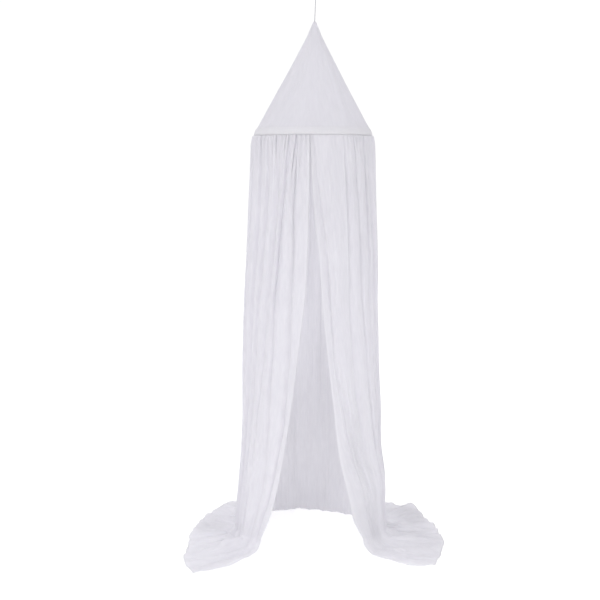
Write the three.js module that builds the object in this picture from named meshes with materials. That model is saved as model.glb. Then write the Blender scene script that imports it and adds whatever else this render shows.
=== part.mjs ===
// A hanging bed canopy: a cone of thin cloth sewn round a hoop, with a gathered skirt below it that is
// open at the front and trails on the floor, all hung from one cord that ends in a tied loop.
// Lengths are in millimetres, angles in degrees. Heights are above the floor. +X is to the right and
// -Y is to the front, where the skirt is open. The frame's origin is the top of the loop's inside,
// where a ceiling hook carries it.
import * as THREE from 'three';

const clothThickness = 1.6;
const seamGap = 0.3;
const roundSegments = 48;

const hoop = { radius: 245.5, tubeRadius: 5, height: 1760, tubeSides: 10 };

const casing = { clearance: 0.4, width: 27, flapGap: 0.6, foldSteps: 6 };
const wrapRadius = hoop.tubeRadius + casing.clearance + clothThickness;
const seamHeight = hoop.height - wrapRadius - seamGap;

// The crown's outer radius at each height, from its tip down: a cone with a slightly drawn-in tip. The tip
// stands a little to the right of the hoop's centre.
const crownSections = [
  { height: 2230, radius: 4.5 },
  { height: 2224, radius: 8.5 },
  { height: 2196, radius: 20 },
  { height: 2148, radius: 42 },
  { height: 2000, radius: 121 },
];
const tip = { height: crownSections[0].height, offset: 6 };

const cord = { diameter: 4, sides: 8, steps: 12, lean: 5, length: 112 };
const knot = { radius: 6.5, height: 15, sides: 12, rings: 8 };
const loop = { width: 32, height: 56, footSpread: 2.3, steps: 22 };

// The skirt's wall, from the seam under the hoop down to the bend at the floor: the radius of the folds'
// crests at the front and sides and at the back, how far the wall's centre is shifted to the right, the
// angles of the opening's two edges (from the front, positive to the right), and the depth of the folds.
const wallSections = [
  { height: seamHeight, radius: 246.5, back: 246.5, shift: 0, rightEdge: -1.8, leftEdge: -3.2, depth: 1.5 },
  { height: 1740, radius: 258, back: 258, shift: 0, rightEdge: -1.8, leftEdge: -3.2, depth: 4 },
  { height: 1715, radius: 264, back: 264, shift: 0, rightEdge: -1.7, leftEdge: -3.1, depth: 7 },
  { height: 1600, radius: 270, back: 270, shift: 0, rightEdge: -1.3, leftEdge: -2.8, depth: 11 },
  { height: 1440, radius: 278, back: 277, shift: -1, rightEdge: 1.8, leftEdge: -3.1, depth: 15 },
  { height: 1240, radius: 289, back: 285, shift: -2, rightEdge: 6.5, leftEdge: -4, depth: 18 },
  { height: 1060, radius: 295, back: 290, shift: -6, rightEdge: 9, leftEdge: -5, depth: 20 },
  { height: 860, radius: 300.5, back: 293, shift: -6, rightEdge: 14, leftEdge: -10.2, depth: 22 },
  { height: 640, radius: 305, back: 295, shift: -7, rightEdge: 20, leftEdge: -15, depth: 24 },
  { height: 420, radius: 311, back: 297, shift: -8, rightEdge: 25.5, leftEdge: -21.8, depth: 26 },
  { height: 250, radius: 320, back: 294, shift: -9, rightEdge: 32.5, leftEdge: -28.4, depth: 28 },
  { height: 140, radius: 340, back: 290, shift: -2, rightEdge: 36.5, leftEdge: -34.5, depth: 28 },
];
// The wall's last section, where it starts to bend outwards. The bend is as tall as this section's height
// beside the opening, and much tighter at the back.
const foot = { radius: 348, back: 286, shift: 0, rightEdge: 43.5, leftEdge: -42.5, depth: 26 };
const bend = { frontHeight: 58, backHeight: 14, reach: 0.3, steps: 3 };

// How far round the skirt the drawn-back edges pull the folds beside them, as a share of the cloth's width.
const pull = { reach: 0.42, power: 1.6 };

// The folds, in order from the opening's right edge round the back to its left edge: the width of each
// at the hoop, its depth as a share of the section's, and how far its valley wanders sideways at
// half height.
const folds = [
  { width: 16, depth: 0.3, wander: 0 },
  { width: 9, depth: 0.55, wander: 0.5 },
  { width: 7.5, depth: 0.9, wander: -1 },
  { width: 10, depth: 0.7, wander: -1.5 },
  { width: 13, depth: 0.85, wander: 1 },
  { width: 8, depth: 0.6, wander: 2 },
  { width: 12, depth: 1, wander: 0.5 },
  { width: 10, depth: 0.7, wander: -1.5 },
  { width: 12, depth: 0.9, wander: 1 },
  { width: 15, depth: 0.7, wander: -1 },
  { width: 9, depth: 0.8, wander: 1.5 },
  { width: 13, depth: 0.55, wander: 0 },
  { width: 11, depth: 0.5, wander: -2 },
  { width: 16, depth: 0.35, wander: 1 },
  { width: 10, depth: 0.3, wander: 0 },
  { width: 14, depth: 0.4, wander: 1.5 },
  { width: 12, depth: 0.3, wander: -1 },
  { width: 9, depth: 0.4, wander: 0.5 },
  { width: 15, depth: 0.35, wander: -1.5 },
  { width: 11, depth: 0.5, wander: 1 },
  { width: 13, depth: 0.6, wander: 2 },
  { width: 10.3, depth: 0.85, wander: 0 },
  { width: 16, depth: 0.75, wander: -1 },
  { width: 12, depth: 0.9, wander: 1 },
  { width: 9, depth: 0.6, wander: -1 },
  { width: 13, depth: 1, wander: 1.5 },
  { width: 10, depth: 0.75, wander: -0.5 },
  { width: 11, depth: 0.9, wander: -2 },
  { width: 13.5, depth: 0.8, wander: -4 },
  { width: 4.7, depth: 0.5, wander: -5 },
  { width: 13.6, depth: 0.45, wander: 1.5 },
];
const columnsPerFold = 4;

// The hem where it lies on the floor, from the right front corner round the back to the left front corner.
const hemOutline = [
  { right: 504, back: -406 },
  { right: 536, back: -300 },
  { right: 570, back: -150 },
  { right: 560, back: 30 },
  { right: 523, back: 170 },
  { right: 487, back: 352 },
  { right: 428, back: 334 },
  { right: 345, back: 402 },
  { right: 120, back: 436 },
  { right: -100, back: 432 },
  { right: -290, back: 410 },
  { right: -412, back: 374 },
  { right: -486, back: 246 },
  { right: -528, back: 82 },
  { right: -541, back: -80 },
  { right: -538, back: -230 },
  { right: -532, back: -380 },
  { right: -478, back: -498 },
];
// On the floor the folds run out from the foot to the hem. Beside the opening they bow towards the front.
const trail = { bowRight: 54, bowLeft: 42, bowReach: 0.16, scallop: 12 };
const trailSections = [
  { share: 0.3, lift: 0.75 },
  { share: 0.65, lift: 0.55 },
  { share: 1, lift: 0.3 },
];

const colours = { cloth: 0xe6e4ec, crown: 0xe3e2e9, hoop: 0xd8d6d2, cord: 0xdedad6 };

function radians(degrees) {
  return THREE.MathUtils.degToRad(degrees);
}

function makeMesh(name, geometry, colour, roughness) {
  const material = new THREE.MeshStandardMaterial({ color: colour, roughness, metalness: 0 });
  const mesh = new THREE.Mesh(geometry, material);
  mesh.name = name;
  return mesh;
}

// The crown and its casing are one cloth: the cone runs down outside the hoop, turns under it and comes
// back up inside, where it is stitched to the cone.
function makeCrown() {
  const last = crownSections[crownSections.length - 1];
  const centre = new THREE.Vector2(hoop.radius, hoop.height);
  const slope = Math.atan2(hoop.radius + wrapRadius - last.radius, last.height - hoop.height);
  const outward = new THREE.Vector2(Math.cos(slope), Math.sin(slope));
  const upward = new THREE.Vector2(-outward.y, outward.x);
  const beside = (across, up) => centre.clone().addScaledVector(outward, across).addScaledVector(upward, up);
  const arc = (radius, from, to) =>
    Array.from({ length: casing.foldSteps + 1 }, (_, step) => {
      const angle = slope + THREE.MathUtils.lerp(from, to, step / casing.foldSteps);
      return new THREE.Vector2(radius * Math.cos(angle), radius * Math.sin(angle)).add(centre);
    });
  const innerFace = wrapRadius - clothThickness;
  const flapTop = innerFace - casing.flapGap;
  const outside = crownSections.map(({ height, radius }) => new THREE.Vector2(radius, height));
  const inside = crownSections
    .slice(1)
    .map(({ height, radius }) => new THREE.Vector2(radius - clothThickness / Math.cos(slope), height))
    .reverse();
  const profile = [
    new THREE.Vector2(0, tip.height),
    ...outside,
    ...arc(wrapRadius, 0, -Math.PI),
    beside(flapTop - clothThickness, casing.width),
    beside(flapTop, casing.width),
    ...arc(innerFace, -Math.PI, 0),
    ...inside,
    new THREE.Vector2(0, crownSections[1].height - clothThickness),
  ].reverse();
  const geometry = new THREE.LatheGeometry(profile, roundSegments);
  geometry.rotateX(Math.PI / 2);
  leanTowardsTip(geometry);
  return makeMesh('crown', geometry, colours.crown, 0.9);
}

function leanTowardsTip(geometry) {
  const points = geometry.attributes.position;
  const rise = tip.height - hoop.height - casing.width;
  for (let i = 0; i < points.count; i += 1) {
    const share = Math.max(0, (points.getZ(i) - hoop.height - casing.width) / rise);
    points.setX(i, points.getX(i) + tip.offset * share);
  }
}

function makeHoop() {
  const geometry = new THREE.TorusGeometry(hoop.radius, hoop.tubeRadius, hoop.tubeSides, roundSegments);
  geometry.translate(0, 0, hoop.height);
  return makeMesh('hoop', geometry, colours.hoop, 0.45);
}

function sweepRound(points, diameter, steps) {
  const radius = diameter / 2;
  const section = new THREE.Shape(
    Array.from({ length: cord.sides }, (_, side) => {
      const angle = ((side + 0.5) / cord.sides) * 2 * Math.PI;
      return new THREE.Vector2(radius * Math.cos(angle), radius * Math.sin(angle));
    }),
  );
  const extrudePath = new THREE.CatmullRomCurve3(points, false, 'centripetal');
  return new THREE.ExtrudeGeometry(section, { steps, extrudePath, bevelEnabled: false });
}

const cordTop = { right: tip.offset + cord.lean, height: tip.height + seamGap + cord.length };
const knotCentre = { right: cordTop.right, height: cordTop.height + seamGap + knot.height / 2 };
const loopFoot = knotCentre.height + knot.height / 2 + seamGap;
const hookHeight = loopFoot + loop.height - cord.diameter / 2;

function makeCord() {
  const start = new THREE.Vector3(tip.offset, 0, tip.height + seamGap);
  const end = new THREE.Vector3(cordTop.right, 0, cordTop.height);
  const middle = start.clone().lerp(end, 0.5);
  return makeMesh('cord', sweepRound([start, middle, end], cord.diameter, cord.steps), colours.cord, 0.9);
}

function makeKnot() {
  const geometry = new THREE.SphereGeometry(1, knot.sides, knot.rings);
  geometry.rotateX(Math.PI / 2);
  geometry.scale(knot.radius, knot.radius, knot.height / 2);
  geometry.translate(knotCentre.right, 0, knotCentre.height);
  return makeMesh('knot', geometry, colours.cord, 0.9);
}

// A drop-shaped loop, with both of its feet on the knot.
function makeLoop() {
  const halfWidth = loop.width / 2 - cord.diameter / 2;
  const outline = [
    { across: loop.footSpread, up: 0 },
    { across: halfWidth * 0.72, up: 0.3 },
    { across: halfWidth, up: 0.62 },
    { across: halfWidth * 0.62, up: 0.92 },
  ];
  const place = (across, up) => new THREE.Vector3(cordTop.right + across, 0, loopFoot + up * loop.height);
  const side = (sign) => outline.map(({ across, up }) => place(sign * across, up));
  const points = [...side(-1), place(0, 1), ...side(1).reverse()];
  return makeMesh('loop', sweepRound(points, cord.diameter, loop.steps), colours.cord, 0.9);
}

// The angle from the front of a point of the wall, from its share of the cloth's width.
function wallAngle(share, section) {
  const [top] = wallSections;
  const pulled = (distance) => Math.max(0, 1 - distance / pull.reach) ** pull.power;
  const rest = top.rightEdge + share * (360 + top.leftEdge - top.rightEdge);
  const fromRight = (section.rightEdge - top.rightEdge) * pulled(share);
  const fromLeft = (section.leftEdge - top.leftEdge) * pulled(1 - share);
  return radians(rest + fromRight + fromLeft);
}

// Each column of the sheet: its share of the cloth's width at the hoop, how far it wanders sideways at
// half height, and how far out on its fold's crest it stands (0 in a valley, up to 1).
function makeColumns() {
  const whole = folds.reduce((sum, { width }) => sum + width, 0);
  const columns = [];
  let start = 0;
  folds.forEach((fold, index) => {
    const next = folds[(index + 1) % folds.length];
    const steps = index === folds.length - 1 ? columnsPerFold + 1 : columnsPerFold;
    const wanderEnd = index === folds.length - 1 ? 0 : next.wander;
    for (let step = 0; step < steps; step += 1) {
      const phase = step / columnsPerFold;
      const wander = THREE.MathUtils.lerp(fold.wander, wanderEnd, phase);
      columns.push({
        share: (start + fold.width * phase) / whole,
        wander: wander / whole,
        crest: fold.depth * Math.sin(Math.PI * phase) ** 2,
      });
    }
    start += fold.width;
  });
  return columns;
}

// How far the bend at the floor reaches up the wall: tall beside the opening, low at the back.
function bendHeight(share) {
  const near = Math.max(0, 1 - Math.min(share, 1 - share) / bend.reach);
  return THREE.MathUtils.lerp(bend.backHeight, bend.frontHeight, near);
}

function wallPoint(column, section) {
  const top = wallSections[0].height;
  const sway = Math.sin((Math.PI * (top - section.height)) / top);
  const angle = wallAngle(column.share + column.wander * sway, section);
  const backness = (1 - Math.cos(angle)) / 2;
  const crestRadius = THREE.MathUtils.lerp(section.radius, section.back, backness ** 3);
  const radius = crestRadius - section.depth * (1 - column.crest);
  const right = section.shift + radius * Math.sin(angle);
  return new THREE.Vector3(right, -radius * Math.cos(angle), section.height);
}

const hemCurve = new THREE.CatmullRomCurve3(
  hemOutline.map(({ right, back }) => new THREE.Vector3(right, back, 0)),
  false,
  'centripetal',
);

// The path of one column over the floor, from the foot of the wall out to the hem.
function trailPath(column, footPoint) {
  const hem = hemCurve.getPointAt(column.share);
  const start = new THREE.Vector3(footPoint.x, footPoint.y, 0);
  const outward = hem.clone().sub(start);
  hem.addScaledVector(outward.clone().normalize(), trail.scallop * (column.crest - 0.3));
  const sideways = new THREE.Vector3(-outward.y, outward.x, 0).normalize();
  const near = (distance) => Math.max(0, 1 - distance / trail.bowReach) ** 2;
  const bow = trail.bowLeft * near(1 - column.share) - trail.bowRight * near(column.share);
  const control = start.clone().lerp(hem, 0.5).addScaledVector(sideways, 2 * bow);
  return new THREE.QuadraticBezierCurve3(start, control, hem);
}

// One column of the sheet's middle surface, from the seam to the hem.
function makeColumnPoints(column) {
  const bendTop = bendHeight(column.share);
  const points = wallSections.map((section) => wallPoint(column, section));
  const footPoint = wallPoint(column, { ...foot, height: bendTop });
  points.push(footPoint);
  const path = trailPath(column, footPoint);
  const out = path.getTangentAt(0);
  const crestLift = column.crest * foot.depth;
  const floorLevel = clothThickness / 2;
  for (let step = 1; step <= bend.steps; step += 1) {
    const turn = (step / bend.steps) * (Math.PI / 2);
    const lift = crestLift * Math.sin(turn) * trailSections[0].lift;
    const point = footPoint.clone().addScaledVector(out, bendTop * (1 - Math.cos(turn)));
    point.z = floorLevel + (bendTop - floorLevel) * (1 - Math.sin(turn)) + lift;
    points.push(point);
  }
  const bendShare = bendTop / path.getLength();
  trailSections.forEach(({ share, lift }) => {
    const point = path.getPointAt(THREE.MathUtils.lerp(bendShare, 1, share));
    point.z = floorLevel + crestLift * lift;
    points.push(point);
  });
  return points;
}

// A closed sheet of the cloth's thickness round a grid of points, its columns going round the skirt and
// its rows going down it.
function thickenSheet(columns) {
  const rowCount = columns[0].length;
  const columnCount = columns.length;
  const clampColumn = (c) => columns[THREE.MathUtils.clamp(c, 0, columnCount - 1)];
  const clampRow = (r) => THREE.MathUtils.clamp(r, 0, rowCount - 1);
  const normalAt = (c, r) => {
    const across = clampColumn(c + 1)[r].clone().sub(clampColumn(c - 1)[r]);
    const down = columns[c][clampRow(r + 1)].clone().sub(columns[c][clampRow(r - 1)]);
    return down.cross(across).normalize();
  };
  const positions = [];
  [0.5, -0.5].forEach((side) => {
    columns.forEach((column, c) => {
      column.forEach((point, r) => {
        const normal = r === 0 ? normalAt(c, r).setZ(0).normalize() : normalAt(c, r);
        const placed = point.clone().addScaledVector(normal, side * clothThickness);
        positions.push(placed.x, placed.y, r === 0 ? point.z : Math.max(placed.z, 0));
      });
    });
  });
  const layer = columnCount * rowCount;
  const at = (c, r, side) => side * layer + c * rowCount + r;
  const indices = [];
  const quad = (a, b, c, d) => indices.push(a, b, c, a, c, d);
  const hem = rowCount - 1;
  for (let c = 0; c < columnCount - 1; c += 1) {
    for (let r = 0; r < rowCount - 1; r += 1) {
      quad(at(c, r, 0), at(c, r + 1, 0), at(c + 1, r + 1, 0), at(c + 1, r, 0));
      quad(at(c, r, 1), at(c + 1, r, 1), at(c + 1, r + 1, 1), at(c, r + 1, 1));
    }
    quad(at(c, 0, 0), at(c + 1, 0, 0), at(c + 1, 0, 1), at(c, 0, 1));
    quad(at(c, hem, 0), at(c, hem, 1), at(c + 1, hem, 1), at(c + 1, hem, 0));
  }
  const end = columnCount - 1;
  for (let r = 0; r < rowCount - 1; r += 1) {
    quad(at(0, r, 0), at(0, r, 1), at(0, r + 1, 1), at(0, r + 1, 0));
    quad(at(end, r, 0), at(end, r + 1, 0), at(end, r + 1, 1), at(end, r, 1));
  }
  const geometry = new THREE.BufferGeometry();
  geometry.setAttribute('position', new THREE.Float32BufferAttribute(positions, 3));
  geometry.setIndex(indices);
  return geometry;
}

function makeSkirt() {
  const columns = makeColumns().map(makeColumnPoints);
  return makeMesh('skirt', thickenSheet(columns), colours.cloth, 0.95);
}

const canopy = new THREE.Group();
canopy.name = 'canopy';
canopy.position.set(-cordTop.right, 0, -hookHeight);
canopy.add(makeCrown(), makeHoop(), makeSkirt(), makeCord(), makeKnot(), makeLoop());

const group = new THREE.Group();
group.add(canopy);
export default group;
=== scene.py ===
import math
import bmesh
import bpy
from mathutils import Matrix, Vector, noise


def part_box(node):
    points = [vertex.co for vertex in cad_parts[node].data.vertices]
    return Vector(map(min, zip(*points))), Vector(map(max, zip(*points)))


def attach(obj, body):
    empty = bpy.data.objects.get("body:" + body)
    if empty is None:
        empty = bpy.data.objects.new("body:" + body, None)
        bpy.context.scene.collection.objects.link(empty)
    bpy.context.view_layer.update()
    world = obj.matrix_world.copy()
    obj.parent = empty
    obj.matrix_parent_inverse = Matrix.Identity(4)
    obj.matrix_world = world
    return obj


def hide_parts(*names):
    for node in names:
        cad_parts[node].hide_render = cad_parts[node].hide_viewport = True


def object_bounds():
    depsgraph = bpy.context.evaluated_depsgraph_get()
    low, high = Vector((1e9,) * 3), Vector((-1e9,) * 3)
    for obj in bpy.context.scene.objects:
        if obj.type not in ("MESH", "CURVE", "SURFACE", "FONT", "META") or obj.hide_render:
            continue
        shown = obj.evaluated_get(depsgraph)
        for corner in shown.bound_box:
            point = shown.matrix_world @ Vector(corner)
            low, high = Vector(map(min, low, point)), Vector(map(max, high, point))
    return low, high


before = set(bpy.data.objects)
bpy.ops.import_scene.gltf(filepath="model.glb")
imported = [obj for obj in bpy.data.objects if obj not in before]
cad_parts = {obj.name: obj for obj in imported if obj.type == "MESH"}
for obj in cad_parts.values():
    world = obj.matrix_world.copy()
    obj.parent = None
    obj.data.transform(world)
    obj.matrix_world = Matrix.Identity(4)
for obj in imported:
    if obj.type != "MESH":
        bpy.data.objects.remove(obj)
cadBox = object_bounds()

body = "root"
floorLevel = cadBox[0].z
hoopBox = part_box("hoop")
axisRight = (hoopBox[0].x + hoopBox[1].x) / 2  # the hoop's centre line stands a little left of the hook
print("frame loaded, floor at", round(floorLevel, 4))


def inRoom(right, back, height):  # heights are above the floor
    return Vector((axisRight + right, back, floorLevel + height))


def blendValue(low, high, share):
    return low + (high - low) * share


def smoothStep(low, high, value):
    share = min(1.0, max(0.0, (value - low) / (high - low)))
    return share * share * (3 - 2 * share)


def ripple(across, along, seed):  # smooth noise from about -1 to 1
    return noise.noise(Vector((across, along, seed)))


def hermite(start, leaving, end, arriving, t):  # from start to end, with a given slope at each
    return (
        start * (2 * t**3 - 3 * t**2 + 1)
        + leaving * (t**3 - 2 * t**2 + t)
        + end * (3 * t**2 - 2 * t**3)
        + arriving * (t**3 - t**2)
    )


def bell(away, width):  # 1 in the middle, next to nothing past twice the width
    return math.exp(-((away / width) ** 2))


def placeObject(name, data):
    made = bpy.data.objects.new(name, data)
    bpy.context.collection.objects.link(made)
    return made


# Lengths are in metres and angles in degrees.
camera = {"distance": 4.51, "height": 1.6604, "pitch": 7.7365, "turn": 0.7083, "lens": 62.63}


def makeCamera():
    data = bpy.data.cameras.new("camera")
    data.lens = camera["lens"]
    piece = placeObject("camera", data)
    piece.location = inRoom(0, -camera["distance"], camera["height"])
    piece.rotation_euler = (math.radians(90 - camera["pitch"]), 0, math.radians(camera["turn"]))
    bpy.context.scene.camera = piece


makeCamera()
print("camera placed")


# Node trees are written as expressions: a Wire is one socket, and a Paint is the tree it is in.
class Wire:
    def __init__(self, paint, socket):
        self.paint = paint
        self.socket = socket

    def maths(self, operation, first, second=0.0):
        return self.paint.node("ShaderNodeMath", {"operation": operation}, {0: first, 1: second})

    def __abs__(self):
        return self.maths("ABSOLUTE", self)

    def __add__(self, other):
        return self.maths("ADD", self, other)

    def __sub__(self, other):
        return self.maths("SUBTRACT", self, other)

    def __rsub__(self, other):
        return self.maths("SUBTRACT", other, self)

    def __mul__(self, other):
        return self.maths("MULTIPLY", self, other)

    __radd__ = __add__
    __rmul__ = __mul__


class Paint:
    def __init__(self, owner):  # a material or a world
        self.owner = owner
        owner.use_nodes = True
        self.tree = owner.node_tree
        self.tree.nodes.clear()

    def node(self, kind, settings=None, inputs=None, output=0):
        made = self.tree.nodes.new(kind)
        for name, value in (settings or {}).items():
            setattr(made, name, value)
        for name, value in (inputs or {}).items():
            socket = made.inputs[name]
            if isinstance(value, Wire):
                self.tree.links.new(value.socket, socket)
            else:
                plainColour = socket.type == "RGBA" and len(value) == 3
                socket.default_value = (*value, 1) if plainColour else value
        return Wire(self, made.outputs[output]) if made.outputs else None

    def attribute(self, name):
        return self.node("ShaderNodeAttribute", {"attribute_name": name}, {}, "Fac")

    def coordinates(self, kind):
        return self.node("ShaderNodeTexCoord", {}, {}, kind)

    def principled(self, inputs):
        return self.node("ShaderNodeBsdfPrincipled", {}, inputs)

    def mixShaders(self, factor, first, second):
        return self.node("ShaderNodeMixShader", {}, {0: factor, 1: first, 2: second})

    def mixColours(self, factor, first, second):
        return self.node("ShaderNodeMix", {"data_type": "RGBA"}, {0: factor, 6: first, 7: second}, 2)

    def scaled(self, vector, factors):
        return self.node("ShaderNodeVectorMath", {"operation": "MULTIPLY"}, {0: vector, 1: factors})

    def cloud(self, vector, scale, detail=2.0, roughness=0.5):
        inputs = {"Vector": vector, "Scale": scale, "Detail": detail, "Roughness": roughness}
        return self.node("ShaderNodeTexNoise", {}, inputs)

    def wave(self, vector, scale, direction, distortion):
        inputs = {"Vector": vector, "Scale": scale, "Distortion": distortion, "Detail": 1.0}
        return self.node("ShaderNodeTexWave", {"bands_direction": direction}, inputs, 1)

    def stretched(self, value, low, high):  # from 0 at low to 1 at high
        return self.node("ShaderNodeMapRange", {}, {"Value": value, "From Min": low, "From Max": high})

    def bump(self, height, strength, distance):
        inputs = {"Height": height, "Strength": strength, "Distance": distance}
        return self.node("ShaderNodeBump", {}, inputs)

    def finish(self, surface, output="ShaderNodeOutputMaterial"):
        self.node(output, {}, {"Surface": surface})
        return self.owner


def newPaint(name):
    return Paint(bpy.data.materials.new(name))


# Thin crinkled cotton. Crinkles, patches, slubs and ribs follow the cloth's own map, whose unit is a metre.
skirtLook = {
    "name": "crinkledCotton",
    "bright": (0.957, 0.951, 0.972),
    "dull": (0.845, 0.839, 0.872),
    "hem": (0.927, 0.921, 0.946),
    # The second through colour is dimmer: it is mixed in as painted shade where the cloth is marked for it.
    "through": (0.955, 0.949, 0.974),
    "throughShaded": (0.81, 0.804, 0.828),
    "translucence": 0.6, "hemTranslucence": 0.57,
    "roughness": 0.92, "specular": 0.15, "sheen": 0.25,
    "crinkles": (120, 17, 1), "crinkleHeight": 0.0017,
    "patches": (14, 5, 1), "slubs": (900, 30, 1),
    # The crinkles' share paints shade and highlight: the colour goes dull in their hollows and bright on
    # their crests.
    "toneAndShadeShares": (0.65, 0.2, 0.15),  # of the crinkles, the patches and the slubs
    "toneAndShadeRange": (0.37, 0.63),
    "ribScale": 45, "ribBend": 0.6, "ribShare": 0.12,
}
# The crown's cotton is a darker copy of the skirt's, with smaller, shallower crinkles: the darker colours are
# painted shade that tones down the cone, which faces up into the light. Its hem is whiter and lets less light
# through.
crownLook = dict(
    skirtLook,
    name="shadedCrownCotton",
    bright=(0.925, 0.919, 0.94),
    dull=(0.84, 0.834, 0.861),
    hem=(0.985, 0.98, 1.0),
    through=(0.914, 0.908, 0.935),
    hemTranslucence=0.42,
    crinkles=(90, 20, 1),
    crinkleHeight=0.001,
)


def makeClothMaterial(look):
    paint = newPaint(look["name"])
    place = paint.node("ShaderNodeUVMap", {"uv_map": "cloth"})
    hem = paint.attribute("hem")
    crinkles = paint.cloud(paint.scaled(place, look["crinkles"]), 1, 3.0, 0.6)
    patches = paint.cloud(paint.scaled(place, look["patches"]), 1, 2.0)
    slubs = paint.cloud(paint.scaled(place, look["slubs"]), 1, 1.0)
    warp = paint.wave(place, look["ribScale"], "X", look["ribBend"])
    weft = paint.wave(place, look["ribScale"], "Y", look["ribBend"])
    shares = look["toneAndShadeShares"]
    # Painted shade and highlight: the crinkles that make the bump also dull the colour in their hollows and
    # brighten it on their crests. The patches and slubs vary the tone at random.
    toneAndCrinkleShade = crinkles * shares[0] + patches * shares[1] + slubs * shares[2]
    cloth = paint.mixColours(paint.stretched(toneAndCrinkleShade, *look["toneAndShadeRange"]), look["dull"], look["bright"])
    relief = crinkles + (warp + weft) * look["ribShare"]
    surface = paint.principled({
        "Base Color": paint.mixColours(hem, cloth, look["hem"]),
        "Roughness": look["roughness"],
        "Specular IOR Level": look["specular"],
        "Sheen Weight": look["sheen"],
        "Normal": paint.bump(relief, 1.0, look["crinkleHeight"]),
    })
    once = paint.node("ShaderNodeBsdfTranslucent", {}, {"Color": look["through"]})
    shadedThrough = paint.node("ShaderNodeBsdfTranslucent", {}, {"Color": look["throughShaded"]})
    # Painted shade and light: the marked share of the dimmer through colour darkens or brightens what shines
    # through.
    glow = paint.mixShaders(paint.attribute("paintedShadeAndLight"), once, shadedThrough)
    factor = look["translucence"] - hem * (look["translucence"] - look["hemTranslucence"])
    return paint.finish(paint.mixShaders(factor, surface, glow))


cordLook = {
    "bright": (0.55, 0.55, 0.58), "dull": (0.38, 0.38, 0.41),
    "fibres": (2600, 2600, 600), "fuzz": 0.00025,
    "grooveShadeShare": 0.8, "fibreShare": 0.3,
}


def makeCordMaterial():
    look = cordLook
    paint = newPaint("twistedCotton")
    fibres = paint.cloud(paint.scaled(paint.coordinates("Object"), look["fibres"]), 1, 2.0)
    # Painted shade: the grooves between the strands, marked by the valley attribute, are darker; the fibres
    # vary the tone.
    shade = paint.attribute("valley") * look["grooveShadeShare"] + fibres * look["fibreShare"]
    surface = paint.principled({
        "Base Color": paint.mixColours(shade, look["bright"], look["dull"]),
        "Roughness": 0.9,
        "Specular IOR Level": 0.15,
        "Sheen Weight": 0.3,
        "Normal": paint.bump(fibres, 1.0, look["fuzz"]),
    })
    return paint.finish(surface)


threadLook = {"pale": (0.94, 0.938, 0.96), "grey": (0.86, 0.858, 0.89), "fibres": 1800}


def makeThreadMaterial():
    look = threadLook
    paint = newPaint("sewingThread")
    fibres = paint.cloud(paint.coordinates("Object"), look["fibres"], 1.0)
    colour = paint.mixColours(fibres, look["pale"], look["grey"])
    return paint.finish(paint.principled({"Base Color": colour, "Roughness": 0.7, "Sheen Weight": 0.2}))


hoopLook = {
    "clean": (0.74, 0.73, 0.7), "scuffed": (0.66, 0.65, 0.62),
    "scuffs": 60, "grain": 900, "grainHeight": 0.0002,
}


def makeHoopMaterial():
    look = hoopLook
    paint = newPaint("hoopCoating")
    place = paint.coordinates("Object")
    colour = paint.mixColours(paint.cloud(place, look["scuffs"], 3.0), look["clean"], look["scuffed"])
    normal = paint.bump(paint.cloud(place, look["grain"], 1.0), 0.3, look["grainHeight"])
    return paint.finish(paint.principled({"Base Color": colour, "Roughness": 0.42, "Normal": normal}))


def meshObject(name, bm, material):  # this uses the bmesh up
    mesh = bpy.data.meshes.new(name)
    bm.to_mesh(mesh)
    bm.free()
    mesh.materials.append(material)
    return placeObject(name, mesh)


def makePiece(name, bm, material, slotName, *nodes):
    piece = meshObject(name, bm, material)
    for face in piece.data.polygons:
        face.use_smooth = True
    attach(piece, body)
    if nodes:
        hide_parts(*nodes)
    return piece


def addThickness(piece, thickness, offset):
    wall = piece.modifiers.new("thickness", "SOLIDIFY")
    wall.thickness = thickness
    wall.offset = offset


# The hanging cord, and the knot and the tied loop at its top.
tipSpot = {"right": 0.006, "height": 2.23}
hangingCord = {
    "diameter": 0.004, "length": 0.112, "lean": 0.005, "gap": 0.0003,
    "sides": 18, "strands": 3, "twist": 0.013, "step": 0.0012,
}
knotShape = {"height": 0.015, "turns": 3, "reach": 0.0043, "taper": 0.25, "steps": 90}
knotLegs = {"low": 0.0002, "middle": 0.0008, "middleDrop": 0.006, "topInset": 0.0002, "clear": 0.0001}
loopShape = {
    "width": 0.032,
    "height": 0.056,
    "footSpread": 0.0023,
    "outline": [(0.72, 0.3), (1, 0.62), (0.62, 0.92), (0, 1)],  # shares of half the width and of the height
}
cordTop = {
    "right": tipSpot["right"] + hangingCord["lean"],
    "height": tipSpot["height"] + hangingCord["gap"] + hangingCord["length"],
}
loopFoot = knotShape["height"] + 2 * hangingCord["gap"]  # above the cord's top end


def curveThrough(points, spacing):  # a smooth line through a few points, cut into even steps
    line = [points[0], *points, points[-1]]
    dense = []
    for before, start, end, after in zip(line, line[1:], line[2:], line[3:]):
        steps = max(8, math.ceil((end - start).length / spacing * 3))
        leaving = (end - before) * 0.5
        arriving = (after - start) * 0.5
        dense += [hermite(start, leaving, end, arriving, step / steps) for step in range(steps)]
    dense.append(points[-1].copy())
    length = sum((here - last).length for last, here in zip(dense, dense[1:]))
    pace = length / max(1, round(length / spacing))
    even = [dense[0]]
    ahead = pace
    for last, here in zip(dense, dense[1:]):
        gap = (here - last).length
        while gap >= ahead and gap > 0:
            even.append(last.lerp(here, ahead / gap))
            ahead += pace
        ahead -= gap
    if (even[-1] - dense[-1]).length > pace * 0.5:
        even.append(dense[-1])
    even[-1] = dense[-1]
    return even


def ringEdges(ring):
    near = dict.fromkeys(edge for vert in ring for edge in vert.link_edges)  # each edge once
    return [edge for edge in near if all(vert in ring for vert in edge.verts)]


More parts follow.
